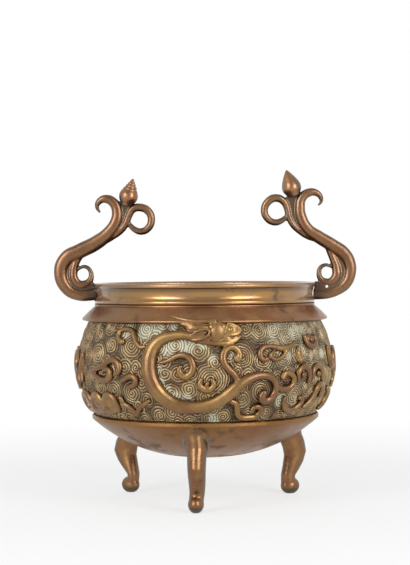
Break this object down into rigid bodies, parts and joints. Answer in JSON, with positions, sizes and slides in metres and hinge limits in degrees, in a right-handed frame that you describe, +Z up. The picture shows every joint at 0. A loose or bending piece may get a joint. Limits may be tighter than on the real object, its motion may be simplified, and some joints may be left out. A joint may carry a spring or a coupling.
{
  "type": "tripod incense burner",
  "caption": "Round-bellied footed incense burner in copper alloy, with dragon and cloud relief, upright scroll handles under small finials, and cabriole legs on ball toes.",
  "frame": {"origin": "on the floor, under the axis of the bowl", "axes": "+Z up; +X to the viewer's right, through both handles; -Y towards the viewer, where the front leg and the front dragon are"},
  "size_m": [0.1489, 0.1288, 0.162],
  "materials": {
    "polished_copper": "polished copper-brown, with dark patina in the hollows",
    "brassy_collar": "polished and brassy, with small dark pits",
    "chased_ground": "chased spirals with pale grey-green residue in the recesses",
    "high_relief": "rubbed bright on the crowns, dark at the foot"
  },
  "bodies": {
    "root": {"lower_bowl": "polished_copper", "base_plug": "polished_copper", "relief_band": "chased_ground", "shoulder_ring": "polished_copper", "neck_collar": "brassy_collar", "leg_front": "polished_copper", "leg_right": "polished_copper", "leg_left": "polished_copper", "handle_left": "polished_copper", "handle_right": "polished_copper", "finial_left": "polished_copper", "finial_right": "polished_copper", "dragon_front": "high_relief", "inner_scroll_front": "high_relief", "pearl_scroll_front": "high_relief", "hook_cloud_front": "high_relief", "ruyi_cloud_west_front": "high_relief", "curl_cloud_west_front": "high_relief", "wave_cloud_west_front": "high_relief", "lobe_cloud_front": "high_relief", "leaf_cloud_front": "high_relief", "hook_cloud_west_front": "high_relief", "ruyi_cloud_east_front": "high_relief", "bud_east_front": "high_relief", "hook_cloud_east_front": "high_relief", "spiral_cloud_a_front": "high_relief", "spiral_cloud_b_front": "high_relief", "spiral_cloud_c_front": "high_relief", "wave_cloud_east_front": "high_relief", "tail_cloud_front": "high_relief", "flame_cloud_front": "high_relief", "knob_cloud_front": "high_relief", "foot_cloud_front": "high_relief", "side_cloud_front": "high_relief", "dragon_back": "high_relief", "inner_scroll_back": "high_relief", "pearl_scroll_back": "high_relief", "hook_cloud_back": "high_relief", "ruyi_cloud_west_back": "high_relief", "curl_cloud_west_back": "high_relief", "wave_cloud_west_back": "high_relief", "lobe_cloud_back": "high_relief", "leaf_cloud_back": "high_relief", "hook_cloud_west_back": "high_relief", "ruyi_cloud_east_back": "high_relief", "bud_east_back": "high_relief", "hook_cloud_east_back": "high_relief", "spiral_cloud_a_back": "high_relief", "spiral_cloud_b_back": "high_relief", "spiral_cloud_c_back": "high_relief", "wave_cloud_east_back": "high_relief", "tail_cloud_back": "high_relief", "flame_cloud_back": "high_relief", "knob_cloud_back": "high_relief", "foot_cloud_back": "high_relief", "side_cloud_back": "high_relief"}
  },
  "joints": []
}
